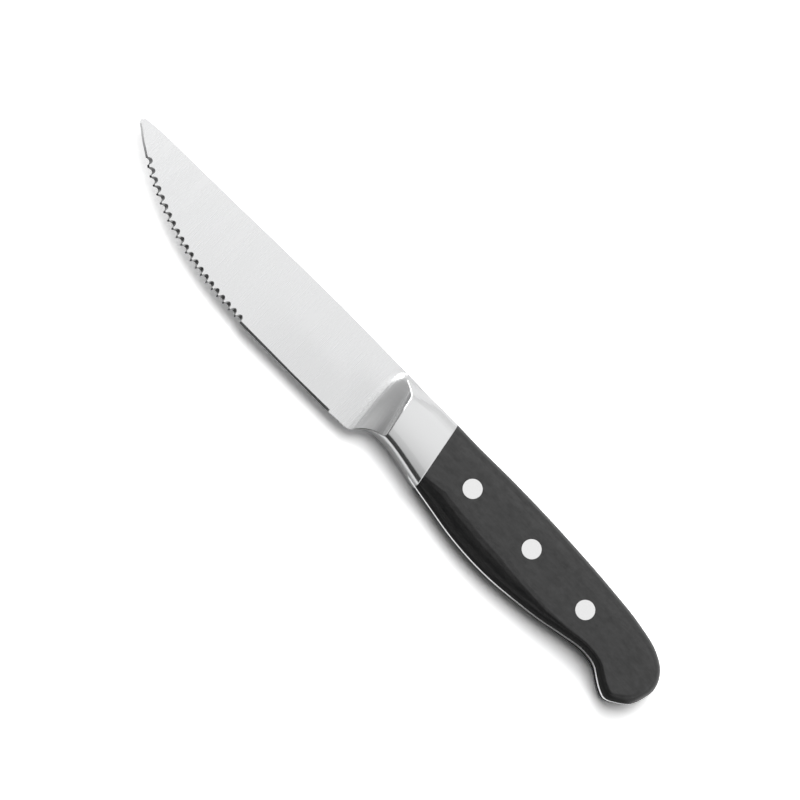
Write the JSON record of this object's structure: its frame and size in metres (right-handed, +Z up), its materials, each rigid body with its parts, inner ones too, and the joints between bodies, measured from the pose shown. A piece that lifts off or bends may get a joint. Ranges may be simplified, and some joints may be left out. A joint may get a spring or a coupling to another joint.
{
  "type": "steak knife",
  "caption": "Forged full-tang steak knife with a pointed, part-serrated blade, a scooped bolster and dark riveted scales with a hooked butt.",
  "frame": {"origin": "middle of the knife's footprint as it lies on its side, on the surface that it lies on", "axes": "+X from the tip to the butt, +Y from the cutting edge to the spine, +Z up out of the upper scale's face"},
  "size_m": [0.24, 0.0292, 0.013],
  "materials": {
    "blade_steel": "satin, ground across the blade, polished bolster",
    "scale_black": "satin black with a faint lengthwise grain",
    "rivet_steel": "bright, ground flush with the scales"
  },
  "bodies": {
    "root": {"blank": "blade_steel", "upper_scale": "scale_black", "lower_scale": "scale_black", "front_rivet_barrel": "rivet_steel", "middle_rivet_barrel": "rivet_steel", "rear_rivet_barrel": "rivet_steel", "front_rivet_post": "rivet_steel", "middle_rivet_post": "rivet_steel", "rear_rivet_post": "rivet_steel"}
  },
  "joints": []
}
